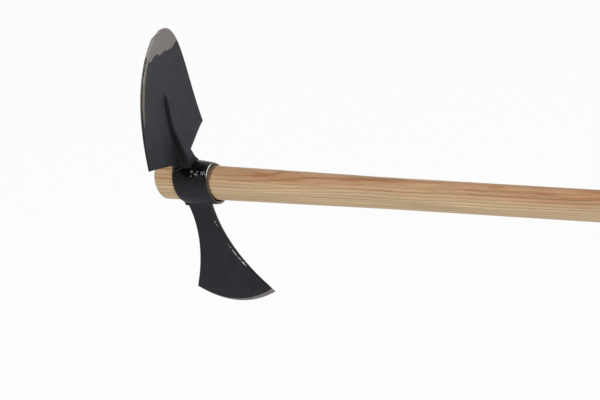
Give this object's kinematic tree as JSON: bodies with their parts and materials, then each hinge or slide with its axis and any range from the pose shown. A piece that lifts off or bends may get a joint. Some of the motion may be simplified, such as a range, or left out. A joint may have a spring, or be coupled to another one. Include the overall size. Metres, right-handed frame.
{
  "type": "planting hoe",
  "caption": "Garden hoe with a pointed, dished digging blade and a flared axe blade welded to one round eye on a straight wooden handle, for breaking ground and cutting roots.",
  "frame": {"origin": "centre of the flat face on the handle's butt", "axes": "+X along the handle and out of its butt, so the head is at negative X; +Z towards the tip of the hoe blade, with the axe blade at negative Z; Y across the hoe blade"},
  "size_m": [0.9039, 0.13, 0.3195],
  "materials": {
    "ash_wood": "smooth sanded and lightly oiled",
    "black_paint": "semi-gloss black lacquer over forge scale",
    "matt_paint": "matt black lacquer, ground bare at the edges",
    "weld_paint": "rippled weld under black lacquer"
  },
  "bodies": {
    "root": {"handle": "ash_wood", "eye_collar": "black_paint", "hoe_blade": "matt_paint", "axe_blade": "black_paint", "hoe_weld": "weld_paint", "axe_weld": "weld_paint"}
  },
  "joints": []
}
